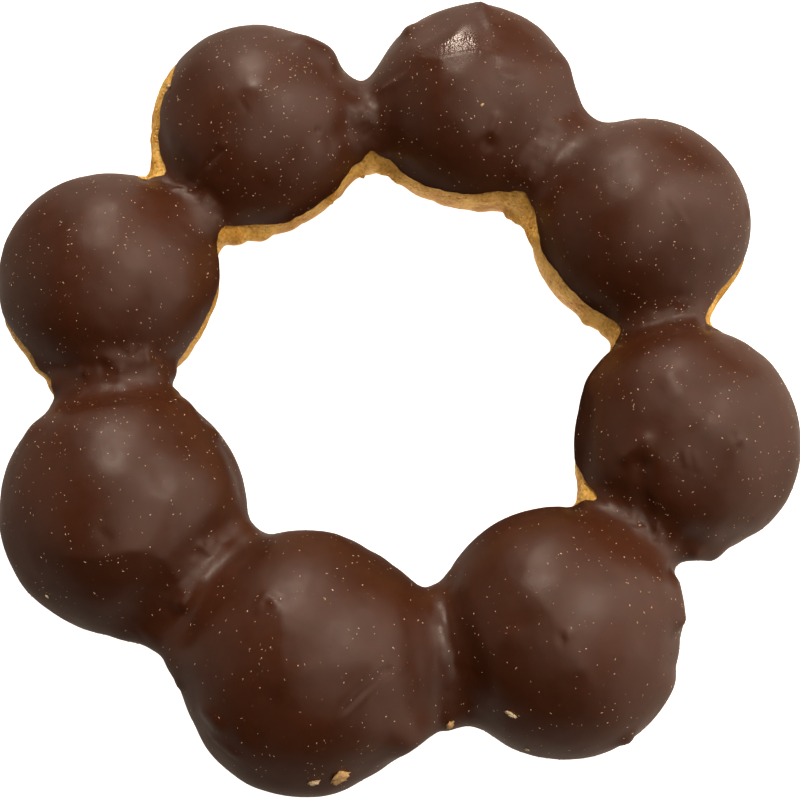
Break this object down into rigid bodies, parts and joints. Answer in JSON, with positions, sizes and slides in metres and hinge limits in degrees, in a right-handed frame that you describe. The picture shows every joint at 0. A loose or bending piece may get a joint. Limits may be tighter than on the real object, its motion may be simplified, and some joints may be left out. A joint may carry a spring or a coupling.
{
  "type": "coffee doughnut",
  "caption": "Ring doughnut of round dough balls grown together, dipped in dark chocolate coating with fine pale specks; golden dough shows below the coat.",
  "frame": {"origin": "middle of the bounding box's underside, on the surface that the doughnut rests on", "axes": "+Z up through the hole, out of the coated face; +X to the right and +Y up in the picture"},
  "size_m": [0.1004, 0.102, 0.0266],
  "materials": {
    "coating": "dark chocolate coating, semi-matt with soft sheen",
    "dough": "golden fried dough, matt, finely pored",
    "specks": "pale tan specks and golden crumbs, matt"
  },
  "bodies": {
    "root": {"doughnut": "coating"}
  },
  "joints": []
}
